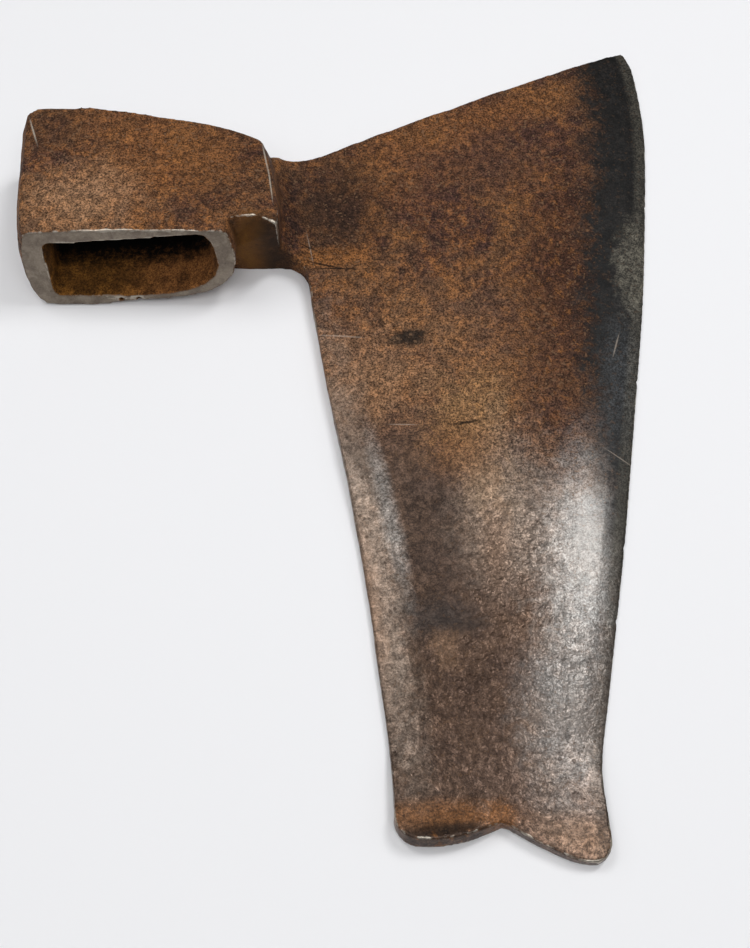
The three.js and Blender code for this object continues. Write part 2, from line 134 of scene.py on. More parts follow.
class Nodes:
    # shorthand for placing and joining nodes in one tree
    def __init__(self, tree):
        self.tree = tree

    def add(self, kind, **settings):
        node = self.tree.nodes.new(kind)
        for name, value in settings.items():
            setattr(node, name, value)
        return node

    def join(self, source, target):
        self.tree.links.new(source, target)

    def feed(self, socket, value):
        if isinstance(value, bpy.types.NodeSocket):
            self.join(value, socket)
        else:
            socket.default_value = value

    def math(self, operation, a, b=0.0, c=0.0, clamp=False):
        node = self.add("ShaderNodeMath", operation=operation, use_clamp=clamp)
        for socket, value in zip(node.inputs, (a, b, c)):
            self.feed(socket, value)
        return node.outputs[0]

    def times(self, a, b, clamp=False):
        return self.math("MULTIPLY", a, b, clamp=clamp)

    def plus(self, a, b):
        return self.math("ADD", a, b)

    def less(self, a, b):
        return self.math("SUBTRACT", a, b)

    def rest(self, a):
        return self.math("SUBTRACT", 1.0, a)

    def most(self, a, b):
        return self.math("MAXIMUM", a, b)

    def scaled(self, a, b, c):
        # a times b, and c added
        return self.math("MULTIPLY_ADD", a, b, c)

    def vector(self, operation, a, b=(0, 0, 0)):
        node = self.add("ShaderNodeVectorMath", operation=operation)
        self.feed(node.inputs[0], a)
        self.feed(node.inputs[1], b)
        return node.outputs["Value" if operation == "LENGTH" else "Vector"]

    def fill(self, node, **values):
        # values by the socket's name, with a space before each capital
        for name, value in values.items():
            label = "".join(" " + c if c.isupper() else c for c in name)
            self.feed(node.inputs[label.strip()], value)
        return node.outputs[0]

    def range(self, value, low, high, toLow=0.0, toHigh=1.0):
        node = self.add("ShaderNodeMapRange", interpolation_type="SMOOTHSTEP")
        return self.fill(node, Value=value, FromMin=low, FromMax=high, ToMin=toLow, ToMax=toHigh)

    def noise(self, where, scale, detail=2.0, rough=0.5, twist=0.0):
        node = self.add("ShaderNodeTexNoise")
        return self.fill(node, Vector=where, Scale=scale, Detail=detail, Roughness=rough, Distortion=twist)

    def mix(self, amount, a, b):
        node = self.add("ShaderNodeMix", data_type="RGBA")
        self.feed(node.inputs[0], amount)
        self.feed(node.inputs[6], a)
        self.feed(node.inputs[7], b)
        return node.outputs[2]

    def mixValue(self, amount, a, b):
        node = self.add("ShaderNodeMix", data_type="FLOAT")
        self.feed(node.inputs[0], amount)
        self.feed(node.inputs[2], a)
        self.feed(node.inputs[3], b)
        return node.outputs[0]

    def shade(self, colour, value):
        # the colour made lighter or darker
        node = self.add("ShaderNodeHueSaturation")
        return self.fill(node, Color=colour, Value=value)

    def use(self, group, **inputs):
        node = self.add("ShaderNodeGroup", node_tree=group)
        for name, value in inputs.items():
            self.feed(node.inputs[name], value)
        return node.outputs


def newGroup(name, inputs, outputs):
    tree = bpy.data.node_groups.new(name, "ShaderNodeTree")
    for label, kind, value in inputs:
        socket = tree.interface.new_socket(label, in_out="INPUT", socket_type=kind)
        if value is not None:
            socket.default_value = value
    for label, kind in outputs:
        tree.interface.new_socket(label, in_out="OUTPUT", socket_type=kind)
    given = tree.nodes.new("NodeGroupInput").outputs
    out = tree.nodes.new("NodeGroupOutput").inputs
    return tree, Nodes(tree), given, out


def patchGroup():
    # a ragged oval patch, with its place and radii in millimetres
    tree, n, given, out = newGroup(
        "raggedPatch",
        [
            ("Where", "NodeSocketVector", None),
            ("Centre", "NodeSocketVector", (0, 0, 0)),
            ("Radii", "NodeSocketVector", (10, 10, 30)),
            ("Turn", "NodeSocketFloat", 0.0),
            ("Soft", "NodeSocketFloat", 0.4),
            ("Ragged", "NodeSocketFloat", 0.8),
            ("Grain", "NodeSocketFloat", 0.12),
        ],
        [("Mask", "NodeSocketFloat")],
    )
    moved = n.vector("SUBTRACT", given["Where"], given["Centre"])
    turned = n.add("ShaderNodeVectorRotate", rotation_type="Z_AXIS")
    n.join(moved, turned.inputs["Vector"])
    n.join(given["Turn"], turned.inputs["Angle"])
    far = n.vector("LENGTH", n.vector("DIVIDE", turned.outputs[0], given["Radii"]))
    uneven = n.less(n.noise(given["Where"], given["Grain"], 5.0, 0.65, 1.2), 0.5)
    edge = n.plus(far, n.times(uneven, n.times(given["Ragged"], 2.0)))
    low = n.rest(given["Soft"])
    high = n.plus(1.0, given["Soft"])
    n.join(n.range(edge, high, low), out["Mask"])
    return tree


def grainGroup():
    # the mottle of old rust: spots of four sizes and sparse specks, each from 0 to 1
    tree, n, given, out = newGroup(
        "rustGrain",
        [("Where", "NodeSocketVector", None)],
        [(name, "NodeSocketFloat") for name in ("Fine", "Middle", "Patchy", "Broad", "Specks")],
    )
    w = given["Where"]
    n.join(n.range(n.noise(w, 1.25, 3.0, 0.8), 0.28, 0.72), out["Fine"])
    n.join(n.range(n.noise(w, 0.35, 5.0, 0.75, 0.2), 0.32, 0.68), out["Middle"])
    n.join(n.range(n.noise(w, 0.12, 5.0, 0.72, 0.4), 0.38, 0.62), out["Patchy"])
    n.join(n.range(n.noise(w, 0.035, 4.0, 0.6, 0.5), 0.36, 0.64), out["Broad"])
    n.join(n.range(n.noise(w, 0.7, 1.0, 0.5), 0.62, 0.7), out["Specks"])
    return tree


def skinGroup():
    # relief of the skin: close pebbling, small pits and slow unevenness
    tree, n, given, out = newGroup(
        "forgedSkin",
        [
            ("Where", "NodeSocketVector", None),
            ("Pebble", "NodeSocketFloat", 1.0),
            ("Pits", "NodeSocketFloat", 1.0),
        ],
        [("Height", "NodeSocketFloat"), ("Hole", "NodeSocketFloat")],
    )
    w = given["Where"]
    pebble = n.noise(w, 0.55, 2.0, 0.5, 0.2)
    fine = n.noise(w, 1.9, 2.0, 0.6)
    slow = n.noise(w, 0.14, 2.0, 0.5)
    cells = n.add("ShaderNodeTexVoronoi", feature="SMOOTH_F1")
    n.join(w, cells.inputs["Vector"])
    cells.inputs["Scale"].default_value = 0.36
    cells.inputs["Smoothness"].default_value = 0.4
    sparse = n.range(n.noise(w, 0.16, 2.0, 0.5), 0.5, 0.66)
    hole = n.times(n.range(cells.outputs["Distance"], 0.34, 0.16), sparse)
    hole = n.times(hole, given["Pits"], clamp=True)
    height = n.times(pebble, given["Pebble"])
    height = n.plus(height, n.times(fine, 0.4))
    height = n.plus(height, n.times(slow, 0.9))
    height = n.less(height, n.times(hole, 0.9))
    n.join(height, out["Height"])
    n.join(hole, out["Hole"])
    return tree


def wearGlintGroup():
    # bright rubbed metal along the arrises, partly a painted highlight, broken up by noise
    tree, n, given, out = newGroup(
        "edgeWearGlint",
        [
            ("Where", "NodeSocketVector", None),
            ("Arris", "NodeSocketFloat", 0.0),
            ("Amount", "NodeSocketFloat", 0.5),
        ],
        [("Mask", "NodeSocketFloat")],
    )
    broken = n.noise(given["Where"], 0.22, 4.0, 0.7)
    rubbedSheen = n.plus(given["Arris"], n.times(n.less(broken, 0.5), 1.2))
    low = n.less(1.05, given["Amount"])
    n.join(n.range(rubbedSheen, low, n.plus(low, 0.25)), out["Mask"])
    return tree


groups = {
    "patch": patchGroup(),
    "grain": grainGroup(),
    "skin": skinGroup(),
    "wear": wearGlintGroup(),
}
print("node groups made")


# the iron: one head, one material

# places and sizes in millimetres, in the part's frame
head = {
    "node": "axe_head",
    "slot": "forged_iron",
    "weld": 0.01 * mm,
    "voxel": 0.55 * mm,
    "mostTriangles": 190000,
    # cutting edge in plan, from the heel to the toe: Y, X
    "edge": [
        (-183, 98.6), (-165, 98.2), (-155, 97.6), (-143, 98.3), (-125, 101.7),
        (-95, 106.8), (-57, 113.1), (-6, 120.5), (44, 127.5), (78, 131.2),
        (119, 134.8), (140, 135.6), (160, 134.5), (177, 132.2), (183, 129.6),
    ],
    # a point of the mouth's face, its normal, and its change of Y for each Z
    "mouthPoint": (-124, 53.3, 20),
    "mouthNormal": (0, -0.978148, 0.207912),
    "mouthCant": 0.2126,
    # how squarely a point faces and how near it lies to count as the mouth: none, wholly
    "mouthFacing": (0.75, 0.95),
    "mouthOff": (1.4, 0.5),
    # middle and half sizes of the eye at its two ends: Y, X, Z, half X, half Z
    "eyeNear": (54, -84, 22.5, 36, 17.5),
    "eyeFar": (118, -92, 19.8, 29.5, 13),
    # how near its wall a point lies to count as the eye, which is left of this X
    "eyeOff": (1.25, 1.12),
    "eyeSide": -40,
    # passes that rub the arrises round, and how much of the thin edge stays as it was
    "softPasses": 4,
    "edgeKept": 0.45,
    "edgeReach": 6,
    # the bulge at which an arris counts as wholly rubbed, and passes to find it
    "fullBulge": 0.22,
    "bulgePasses": 8,
    "bulgeSoftPasses": 2,
    # distances from the edge at which the iron is thin and thick
    "thinToThick": (3, 22),
    # height, cell size and seed of the hammer's waves and of the skin
    "slowWaves": [(0.30, 17, 4), (0.16, 8, 7)],
    "quickWaves": [(0.07, 3.2, 9), (0.05, 1.7, 12)],
    # the pebbled part of the lower blade: waves, centre, half sizes, and X where it fades in
    "beatenWaves": [(0.2, 2.1, 21), (0.07, 3.6, 22)],
    "beatenCentre": (68, -102),
    "beatenHalf": (28, 56),
    "beatenFrom": (30, 40),
    # place, reach and depth of small nicks in the edge
    "nicks": [
        (131.9, 98.5, 1.6, 1.0), (113, -62, 2.2, 0.5), (122.6, 12, 1.8, 0.45),
        (133.5, 60, 1.5, 0.4), (107.4, -92, 1.7, 0.5),
    ],
    # X, Z and radius of little blow holes in the rim of the mouth, and their depth
    "bubbles": [(-91.6, 3.6, 1.25), (-84.2, 3.9, 1.25)],
    "bubbleDepth": 1.3,
}
# distances from the edge are stored on the mesh as shares of this many millimetres
storedReach = 50.0

# name: centre, radii, turn in degrees, softness, raggedness
patches = {
    "orangeSocket": ((-69, 93, 40), (26, 15, 12), 10, 0.6, 1.0),
    "orangeFarSocket": ((-84, 112, 40), (22, 9, 12), -5, 0.6, 1.1),
    "tanSocket": ((-104, 74, 40), (20, 16, 12), 0, 0.8, 1.2),
    "orangeRoot": ((-3, 68, 9), (15, 4.5, 8), 12, 0.5, 0.9),
    "orangeFarEdge": ((42, 134, 6), (34, 8, 12), 23, 0.7, 1.1),
    "orangeFarEdgeTwo": ((88, 152, 6), (30, 7, 12), 23, 0.7, 1.1),
    "orangeUpper": ((24, 108, 6), (26, 12, 12), 30, 0.8, 1.2),
    "yellowMiddle": ((54, -6, 6), (17, 13, 12), 60, 0.9, 1.6),
    "yellowLow": ((60, -36, 6), (9, 11, 12), 0, 0.9, 1.4),
    "redRight": ((92, 40, 6), (18, 46, 12), -8, 0.7, 1.2),
    "darkRoot": ((-2, 93, 9), (17, 20, 14), -10, 0.8, 1.0),
    "tanLeft": ((14, 14, 6), (16, 18, 12), 0, 0.8, 1.2),
    "darkMiddle": ((27.4, 29.5, 6), (8, 4, 12), 10, 0.4, 1.3),
    "darkLow": ((40, -92, 6), (12, 6.5, 12), 0, 0.8, 1.0),
    "smoothDark": ((36, -52, 6), (13, 34, 12), 4, 0.8, 0.8),
    "darkColumn": ((42, -122, 6), (24, 34, 12), 0, 0.9, 1.0),
    # rubbed bare metal of the lower blade, painted pale as a sheen
    "rubbedSheen": ((98, -60, 5), (14, 38, 12), -8, 0.9, 0.5),
    "rubbedSheenLow": ((88, -126, 5), (15, 32, 12), -5, 0.9, 0.7),
    "pebbled": ((68, -102, 6), (28, 56, 12), -6, 0.6, 0.6),
    # the back chamfer painted pale as a sheen, its inner ridge painted with a highlight
    "leftStripSheen": ((12, -66, 8), (8.5, 76, 12), 10, 0.9, 0.7),
    "leftRidgeHighlight": ((20, -48, 8), (3, 27, 12), 12, 0.9, 0.5),
    "orangeLow": ((50, -22, 6), (12, 12, 12), 0, 0.8, 1.2),
    "orangeLowTwo": ((62, -58, 6), (5, 18, 12), 0, 0.8, 1.2),
    "orangeStrip": ((12, -84, 8), (5, 26, 12), 10, 0.9, 1.2),
    "rustPits": ((41.5, -105, 6), (5.5, 7, 12), 0, 0.6, 1.9),
    "tailBrown": ((38, -167, 8), (24, 5, 12), 0, 0.7, 0.7),
    "tailDark": ((42, -172, 9), (13, 2.4, 8), 6, 0.6, 0.6),
    "tailOrange": ((89, -174, 5), (14, 6, 8), -10, 0.7, 0.9),
    "greySteel": ((124, 66, 3), (7, 23, 8), -6, 0.4, 1.1),
    "greySteelTwo": ((115, 12, 3), (8, 28, 8), -8, 0.7, 0.9),
    "recess": ((-32, 65, 18), (13, 6.5, 26), 0, 0.3, 0.3),
    "midWarm": ((42, 18, 6), (56, 34, 14), 0, 0.9, 0.8),
    # grey-beige patch beside it, partly the painted fringe of the sheen
    "greyMidSheen": ((68, -46, 6), (17, 28, 12), 0, 0.9, 0.8),
    "redSocket": ((-44, 92, 36), (17, 26, 14), 0, 0.8, 1.0),
    "pollTop": ((-121, 113, 38), (13, 12, 14), 0, 0.8, 1.0),
    "purpleTop": ((62, 118, 5), (38, 18, 12), 24, 0.8, 1.2),
    "redRightTwo": ((98, 78, 6), (16, 40, 12), 0, 0.7, 1.3),
    "heelEnd": ((40, -177, 2), (26, 5, 12), 3, 0.4, 0.5),
    "notch": ((59, -168, 4), (5, 6, 10), 0, 0.6, 0.8),
    # arrises most worn and painted with a highlight
    "wornGlintMouth": ((-86, 56, 24), (46, 9, 24), 0, 0.3, 0.2),
    "wornGlintNeck": ((-28, 82, 30), (14, 30, 16), 0, 0.3, 0.2),
    "wornGlintHeel": ((60, -177, 4), (46, 13, 10), -5, 0.3, 0.2),
}

# name: one end, other end, half width, all in X and Y
scratches = {
    "upright": ((-13.9, 78.7), (-11.1, 65.1), 0.22),
    "level": ((21.1, -10.6), (31.5, -10.6), 0.22),
    "leftLevel": ((-7.6, 30.5), (9.7, 29.6), 0.35),
    "edgeHook": ((113.5, 23), (116.5, 33), 0.3),
    "low": ((107.5, -20), (118.5, -27), 0.2),
}
# short lengths of arris painted bright: worn metal and a painted highlight, in the same order
rubbedGlintLines = {
    "shoulderTop": ((-31.9, 105.6), (-28.8, 90), 0.32),
    "shoulderLow": ((-28.9, 92), (-26.8, 77), 0.3),
    "pollCorner": ((-129.6, 117), (-125.4, 104.5), 0.35),
    "backTop": ((-14.3, 56.2), (-11.4, 45), 0.4),
    "backLow": ((-11, 43), (-9.2, 33), 0.4),
}
# folds and cracks left by the forging, in the same order
cracks = {
    "rootOne": ((-13.5, 65.3), (0, 62.8), 0.45),
    "rootTwo": ((-9, 62.2), (8, 62.6), 0.3),
    "rootThree": ((-17, 73.6), (-11, 71.2), 0.4),
    "underYellow": ((45.5, -10.5), (57.5, -8.5), 0.6),
}


def copyOfNode(piece):
    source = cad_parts[piece["node"]]
    made = source.copy()
    made.data = source.data.copy()
    made.data.materials.clear()
    bpy.context.scene.collection.objects.link(made)
    made.parent = None
    pick(made)
    bpy.ops.object.mode_set(mode="EDIT")
    bpy.ops.mesh.select_all(action="SELECT")
    bpy.ops.mesh.remove_doubles(threshold=piece["weld"])
    bpy.ops.mesh.normals_make_consistent(inside=False)
    bpy.ops.object.mode_set(mode="OBJECT")
    return made


def edgeList(mesh):
    flat = np.empty(len(mesh.edges) * 2, dtype=np.int32)
    mesh.edges.foreach_get("vertices", flat)
    return flat.reshape(-1, 2)


def zones(points, normal, piece):
    # which part of the head a point is on: distance to the edge, and masks of mouth and eye
    edge = np.array(piece["edge"])
    toEdge = np.interp(points[:, 1], edge[:, 0], edge[:, 1]) - points[:, 0]
    face = np.array(piece["mouthNormal"])
    offPlane = np.abs((points - np.array(piece["mouthPoint"])) @ face)
    facing = smoothStep(*piece["mouthFacing"], normal @ face)
    mouth = facing * smoothStep(*piece["mouthOff"], offPlane)
    near = np.array(piece["eyeNear"])
    far = np.array(piece["eyeFar"])
    t = (points[:, 1] - near[0]) / (far[0] - near[0])
    middle = near[None, 1:3] + t[:, None] * (far - near)[None, 1:3]
    half = near[None, 3:5] + t[:, None] * (far - near)[None, 3:5]
    inEye = np.max(np.abs(points[:, [0, 2]] - middle) / half, axis=1)
    towards = np.sum((points[:, [0, 2]] - middle) * normal[:, [0, 2]], axis=1) < 0
    eye = smoothStep(*piece["eyeOff"], inEye) * towards * (points[:, 0] < piece["eyeSide"])
    return {"toEdge": toEdge, "mouth": mouth, "eye": eye * (1 - mouth)}


def forgeRelief(points, normal, at, piece):
    # slow unevenness from the hammer, less where the iron is thin
    thick = smoothStep(*piece["thinToThick"], at["toEdge"])
    flatBack = smoothStep(0.6, 0.9, -normal[:, 2]) * (points[:, 2] < 1)
    slow = waves(points, piece["slowWaves"])
    quick = waves(points, piece["quickWaves"])
    off = (points[:, :2] - np.array(piece["beatenCentre"])) / np.array(piece["beatenHalf"])
    beaten = smoothStep(1.5, 0.6, np.hypot(off[:, 0], off[:, 1]))
    beaten = beaten * smoothStep(*piece["beatenFrom"], points[:, 0]) * (normal[:, 2] > 0.5)
    quick = quick + beaten * waves(points, piece["beatenWaves"])
    depth = thick * slow + (0.3 + 0.7 * thick) * quick
    # the flat back only goes inwards
    depth = np.where(flatBack > 0, np.minimum(depth, 0) * (1 - 0.6 * flatBack), depth)
    return depth * (1 - 0.8 * at["mouth"])


def addNicks(points, piece):
    for x, y, reach, deep in piece["nicks"]:
        away = np.hypot(points[:, 0] - x, points[:, 1] - y)
        points[:, 0] -= deep * smoothStep(reach, 0, away)
    return points


def addBubbles(points, piece):
    face = np.array(piece["mouthNormal"])
    for x, z, radius in piece["bubbles"]:
        y = piece["mouthPoint"][1] + (z - piece["mouthPoint"][2]) * piece["mouthCant"]
        away = np.linalg.norm(points - np.array((x, y, z)), axis=1)
        points -= np.outer(piece["bubbleDepth"] * smoothStep(radius * 1.1, radius * 0.5, away), face)
    return points


def makeHead(piece):
    made = copyOfNode(piece)
    made.name = "forgedHead"
    applyModifier(made, "REMESH", mode="VOXEL", voxel_size=piece["voxel"], adaptivity=0)
    mesh = made.data
    print("remeshed", len(mesh.polygons))
    points = vectorsOf(mesh, "co") / mm
    edges = edgeList(mesh)
    at = zones(points, vectorsOf(mesh, "normal"), piece)
    # the arrises are rubbed round, the thin edge less
    softened = relax(points, edges, piece["softPasses"])
    keep = piece["edgeKept"] * smoothStep(piece["edgeReach"], 0, at["toEdge"])[:, None]
    points = softened * (1 - keep) + points * keep
    setPositions(mesh, points * mm)
    normal = vectorsOf(mesh, "normal")
    at = zones(points, normal, piece)
    points = points + normal * forgeRelief(points, normal, at, piece)[:, None]
    points = addBubbles(addNicks(points, piece), piece)
    points[:, 2] = np.maximum(points[:, 2], 0)
    setPositions(mesh, points * mm)
    triangles = sum(len(p.vertices) - 2 for p in mesh.polygons)
    if triangles > piece["mostTriangles"]:
        ratio = piece["mostTriangles"] / triangles
        applyModifier(made, "DECIMATE", decimate_type="COLLAPSE", ratio=ratio)
    mesh = made.data
    print("relief made", sum(len(p.vertices) - 2 for p in mesh.polygons))
    markZones(mesh, piece)
    pick(made)
    bpy.ops.object.shade_smooth()
    return made


def markZones(mesh, piece):
    # what the material reads: arrises, hollows, the mouth, the eye and the distance to the edge
    points = vectorsOf(mesh, "co") / mm
    normal = vectorsOf(mesh, "normal")
    edges = edgeList(mesh)
    at = zones(points, normal, piece)
    level = relax(points, edges, piece["bulgePasses"])
    bulge = np.sum((points - level) * normal, axis=1)
    bulge = relax(bulge[:, None], edges, piece["bulgeSoftPasses"])[:, 0]
    setAttribute(mesh, "arris", bulge / piece["fullBulge"])
    setAttribute(mesh, "hollow", -bulge / piece["fullBulge"])
    setAttribute(mesh, "mouth", at["mouth"])
    setAttribute(mesh, "eye", at["eye"])
    setAttribute(mesh, "toEdge", at["toEdge"] / storedReach)


ironColours = {
    "brown": linear(103, 72, 47),
    "darkBrown": linear(42, 29, 23),
    "purple": linear(66, 44, 38),
    "redBrown": linear(58, 35, 26),
    "orange": linear(122, 79, 42),
    "yellow": linear(152, 116, 72),
    "tan": linear(146, 112, 84),
    "greyBrown": linear(96, 79, 67),
    "blackBlue": linear(7, 11, 12),
    "blueSteel": linear(54, 56, 58),
    "greySteel": linear(88, 84, 74),
    # bright metal painted on worn arrises, partly a painted highlight
    "brightSteelGlint": linear(190, 182, 168),
    "filedFace": linear(144, 133, 119),
    "filedShade": linear(90, 78, 69),
    "eyeRust": linear(110, 72, 28),
    # near black: the painted shade deep in the eye, and the dark of cracks and hollows
    "eyeDark": linear(5, 4, 3),
    # pale metal painted on as sheen and highlight
    "polishedSheen": linear(172, 174, 172),
    "beige": linear(172, 158, 144),
    "hollowRust": linear(132, 88, 36),
    # dark of the neck's hollow face: painted shade and its dark grain
    "hollowDark": linear(46, 33, 22),
}


def line(n, where, start, end, half):
    # a thin wavering line between two places, as a mask
    a, b = Vector((*start, 0)), Vector((*end, 0))
    middle = (a + b) / 2
    along = b - a
    turn = -math.atan2(along.y, along.x)
    return n.use(
        groups["patch"], Where=where, Centre=(middle.x, middle.y, 0),
        Radii=(along.length / 2, half, 400), Turn=turn, Soft=0.6, Ragged=0.8, Grain=0.6,
    )["Mask"]


# where the rubbed lower blade begins: a line in Y, its slant with X and its waver
lowerBlade = {"slant": 0.35, "from": 26.0, "to": -34.0, "waver": 26.0}

# name of a patch, its colour and its share
tints = (
    ("orangeSocket", "orange", 0.55),
    ("orangeFarSocket", "orange", 0.4),
    ("tanSocket", "tan", 0.6),
    ("orangeRoot", "orange", 1.0),
    ("orangeFarEdge", "orange", 0.45),
    ("orangeFarEdgeTwo", "orange", 0.35),
    ("orangeUpper", "orange", 0.35),
    ("yellowMiddle", "yellow", 0.46),
    ("yellowLow", "yellow", 0.32),
    ("midWarm", "tan", 0.22),
    ("redRight", "redBrown", 0.6),
    ("redRightTwo", "redBrown", 0.55),
    ("darkRoot", "darkBrown", 0.85),
    ("darkMiddle", "blackBlue", 1.0),
    ("tanLeft", "tan", 0.35),
    ("darkLow", "blueSteel", 0.6),
    ("smoothDark", "darkBrown", 0.3),
    ("darkColumn", "darkBrown", 0.5),
    # painted sheen on the back chamfer and painted highlight on its ridge
    ("leftStripSheen", "beige", 0.34),
    ("leftRidgeHighlight", "polishedSheen", 0.3),
    # grey-beige fringe of the painted sheen
    ("greyMidSheen", "beige", 0.3),
    ("redSocket", "redBrown", 0.3),
    ("pollTop", "darkBrown", 0.35),
    ("purpleTop", "purple", 0.55),
    ("orangeLow", "orange", 0.4),
    ("orangeLowTwo", "orange", 0.2),
    ("orangeStrip", "orange", 0.3),
    # painted sheen on the rubbed lower blade
    ("rubbedSheen", "polishedSheen", 0.5),
    ("rubbedSheenLow", "polishedSheen", 0.32),
    ("rustPits", "tan", 0.35),
    ("tailBrown", "orange", 0.65),
    ("tailDark", "blackBlue", 0.75),
    ("tailOrange", "tan", 0.4),
    ("heelEnd", "darkBrown", 0.5),
    ("notch", "orange", 0.5),
)

# dark band beside the cutting edge: from one Y to another, and the value at each
# the waver is how far its inner side strays
band = {
    "width": (-100.0, 60.0, 3.5, 33.0),
    "outer": (-60.0, 40.0, 1.8, 1.25),
    "inner": (-60.0, 40.0, 0.3, 0.65),
    "fray": (-80.0, 20.0, 0.1, 1.0),
    "spots": (-80.0, 20.0, 1.0, 10.0),
    "strength": (-130.0, -30.0, 0.4, 1.0),
    "honed": (-170.0, -20.0, 0.1, 0.3),
    "rough": (-60.0, 30.0, 0.34, 0.5),
    "waver": 26.0,
}

# how far each patch of the lower blade loses the mottle
evenness = {"pebbled": 0.6, "rubbedSheen": 0.68, "rubbedSheenLow": 0.68, "leftStripSheen": 0.5}

# roughness and metal of each part, the lower blade's roughness between two values
roughOf = {
    "rusted": 0.8, "lower": (0.28, 0.38), "rubbedSheen": 0.4, "smoothDark": 0.5, "darkLow": 0.6,
    "mouth": 0.5, "inside": 0.85, "worn": 0.3,
}
metalOf = {"rusted": 0.05, "lower": 0.55, "rubbedSheen": 0.8, "leftRidgeHighlight": 0.8, "mouth": 0.7, "worn": 0.85}
dullPatches = ("smoothDark", "darkLow", "tailBrown", "tailDark", "tailOrange", "heelEnd", "rustPits")
surface = {"specular": 0.16, "bump": 0.4, "bumpHeight": 0.25 * mm}

# how strongly wear with its painted highlight, hollows and single marks show
shows = {
    "leastWearGlint": 0.2, "mostWearGlint": 0.48, "worn": 0.65, "hollow": 0.45, "pit": 0.5,
    "scratch": 0.45, "rubbedGlintLine": 0.55, "crack": 0.85, "crackDepth": 1.2,
}


def attribute(n, name):
    return n.add("ShaderNodeAttribute", attribute_name=name).outputs["Fac"]


def readings(n):
    # what colour, relief and shine all read, with places in millimetres
    coords = n.add("ShaderNodeTexCoord")
    where = n.vector("MULTIPLY", coords.outputs["Object"], (1 / mm, 1 / mm, 1 / mm))
    split = n.add("ShaderNodeSeparateXYZ")
    n.join(where, split.inputs[0])
    on = {"where": where, "x": split.outputs[0], "y": split.outputs[1], "patch": {}}
    for name, (centre, radii, turn, soft, ragged) in patches.items():
        on["patch"][name] = n.use(
            groups["patch"], Where=where, Centre=centre, Radii=radii,
            Turn=-math.radians(turn), Soft=soft, Ragged=ragged,
        )["Mask"]
    on["grain"] = n.use(groups["grain"], Where=where)
    for name in ("arris", "hollow", "mouth", "eye"):
        on[name] = attribute(n, name)
    on["toEdge"] = n.times(attribute(n, "toEdge"), storedReach)
    on["uneven"] = n.times(n.less(n.noise(where, 0.07, 5.0, 0.65), 0.5), lowerBlade["waver"])
    # the lower blade is rubbed and shines, the upper is rusted dull
    slope = n.scaled(on["x"], lowerBlade["slant"], n.plus(on["y"], on["uneven"]))
    on["lower"] = n.range(slope, lowerBlade["from"], lowerBlade["to"])
    return on


def edgeBand(n, on):
    # broad and full at the toe, narrow and faint at the heel, with a frayed inner side
    y = on["y"]
    width = n.range(y, *band["width"])
    frayed = n.times(n.less(n.noise(on["where"], 0.16, 4.0, 0.7, 1.0), 0.5), band["waver"])
    frayed = n.plus(frayed, n.times(on["uneven"], 0.8))
    ragged = n.plus(on["toEdge"], n.times(frayed, n.range(y, *band["fray"])))
    ragged = n.plus(ragged, n.times(on["grain"]["Middle"], n.range(y, *band["spots"])))
    outer = n.times(width, n.range(y, *band["outer"]))
    inner = n.times(width, n.range(y, *band["inner"]))
    return n.times(n.range(ragged, outer, inner), n.range(y, *band["strength"]))


def wornGlintArrises(n, on):
    # worn metal and a painted highlight along the arrises: most at the mouth, the shoulder and the heel,
    # little elsewhere
    patch = on["patch"]
    mostWornAndLit = n.most(patch["wornGlintMouth"], patch["wornGlintNeck"])
    mostWornAndLit = n.most(mostWornAndLit, n.times(patch["wornGlintHeel"], 0.75))
    amount = n.mixValue(mostWornAndLit, shows["leastWearGlint"], shows["mostWearGlint"])
    worn = n.use(groups["wear"], Where=on["where"], Arris=on["arris"], Amount=amount)["Mask"]
    return n.times(worn, n.rest(n.times(on["eye"], 0.6)))


def rustColour(n, on):
    grain, patch, lower = on["grain"], on["patch"], on["lower"]
    colour = n.mix(grain["Broad"], ironColours["brown"], ironColours["purple"])
    colour = n.mix(n.times(grain["Middle"], 0.4), colour, ironColours["redBrown"])
    rust = n.times(grain["Patchy"], n.range(grain["Middle"], 0.0, 1.0, 0.75, 0.15))
    colour = n.mix(n.times(rust, n.rest(lower)), colour, ironColours["orange"])
    bare = n.mix(n.times(grain["Middle"], 0.4), ironColours["greyBrown"], ironColours["darkBrown"])
    colour = n.mix(n.times(lower, 0.75), colour, bare)
    colour = n.mix(n.times(n.range(grain["Patchy"], 0.3, 0.0), 0.35), colour, ironColours["darkBrown"])
    for name, tint, share in tints:
        spotted = n.times(patch[name], n.scaled(grain["Fine"], 0.5, 0.75), clamp=True)
        colour = n.mix(n.times(spotted, share), colour, ironColours[tint])
    # orange flecks in clumps on the red right side and on the heel's end
    clumpy = n.times(n.most(patch["redRight"], patch["redRightTwo"]), 0.8)
    clumpy = n.most(clumpy, n.times(patch["heelEnd"], 0.9))
    flecks = n.times(clumpy, n.range(n.noise(on["where"], 0.2, 5.0, 0.75, 0.5), 0.53, 0.63))
    return n.mix(n.times(flecks, 0.8), colour, ironColours["orange"])


def bandColour(n, on, colour):
    # the dark band, grey steel showing through it and the honed strip at the very edge
    grain, patch = on["grain"], on["patch"]
    dark = n.mix(n.times(grain["Patchy"], 0.12), ironColours["blackBlue"], ironColours["blueSteel"])
    colour = n.mix(n.times(on["band"], 0.97), colour, dark)
    steel = n.times(patch["greySteel"], n.scaled(grain["Middle"], -0.5, 0.95))
    colour = n.mix(n.times(steel, 0.85), colour, ironColours["greySteel"])
    steel = n.times(patch["greySteelTwo"], n.scaled(grain["Middle"], -0.4, 0.9))
    colour = n.mix(n.times(steel, 0.8), colour, ironColours["blueSteel"])
    honed = n.times(n.range(on["toEdge"], 6.5, 3.5), n.range(on["y"], *band["honed"]))
    return n.mix(honed, colour, ironColours["greySteel"])


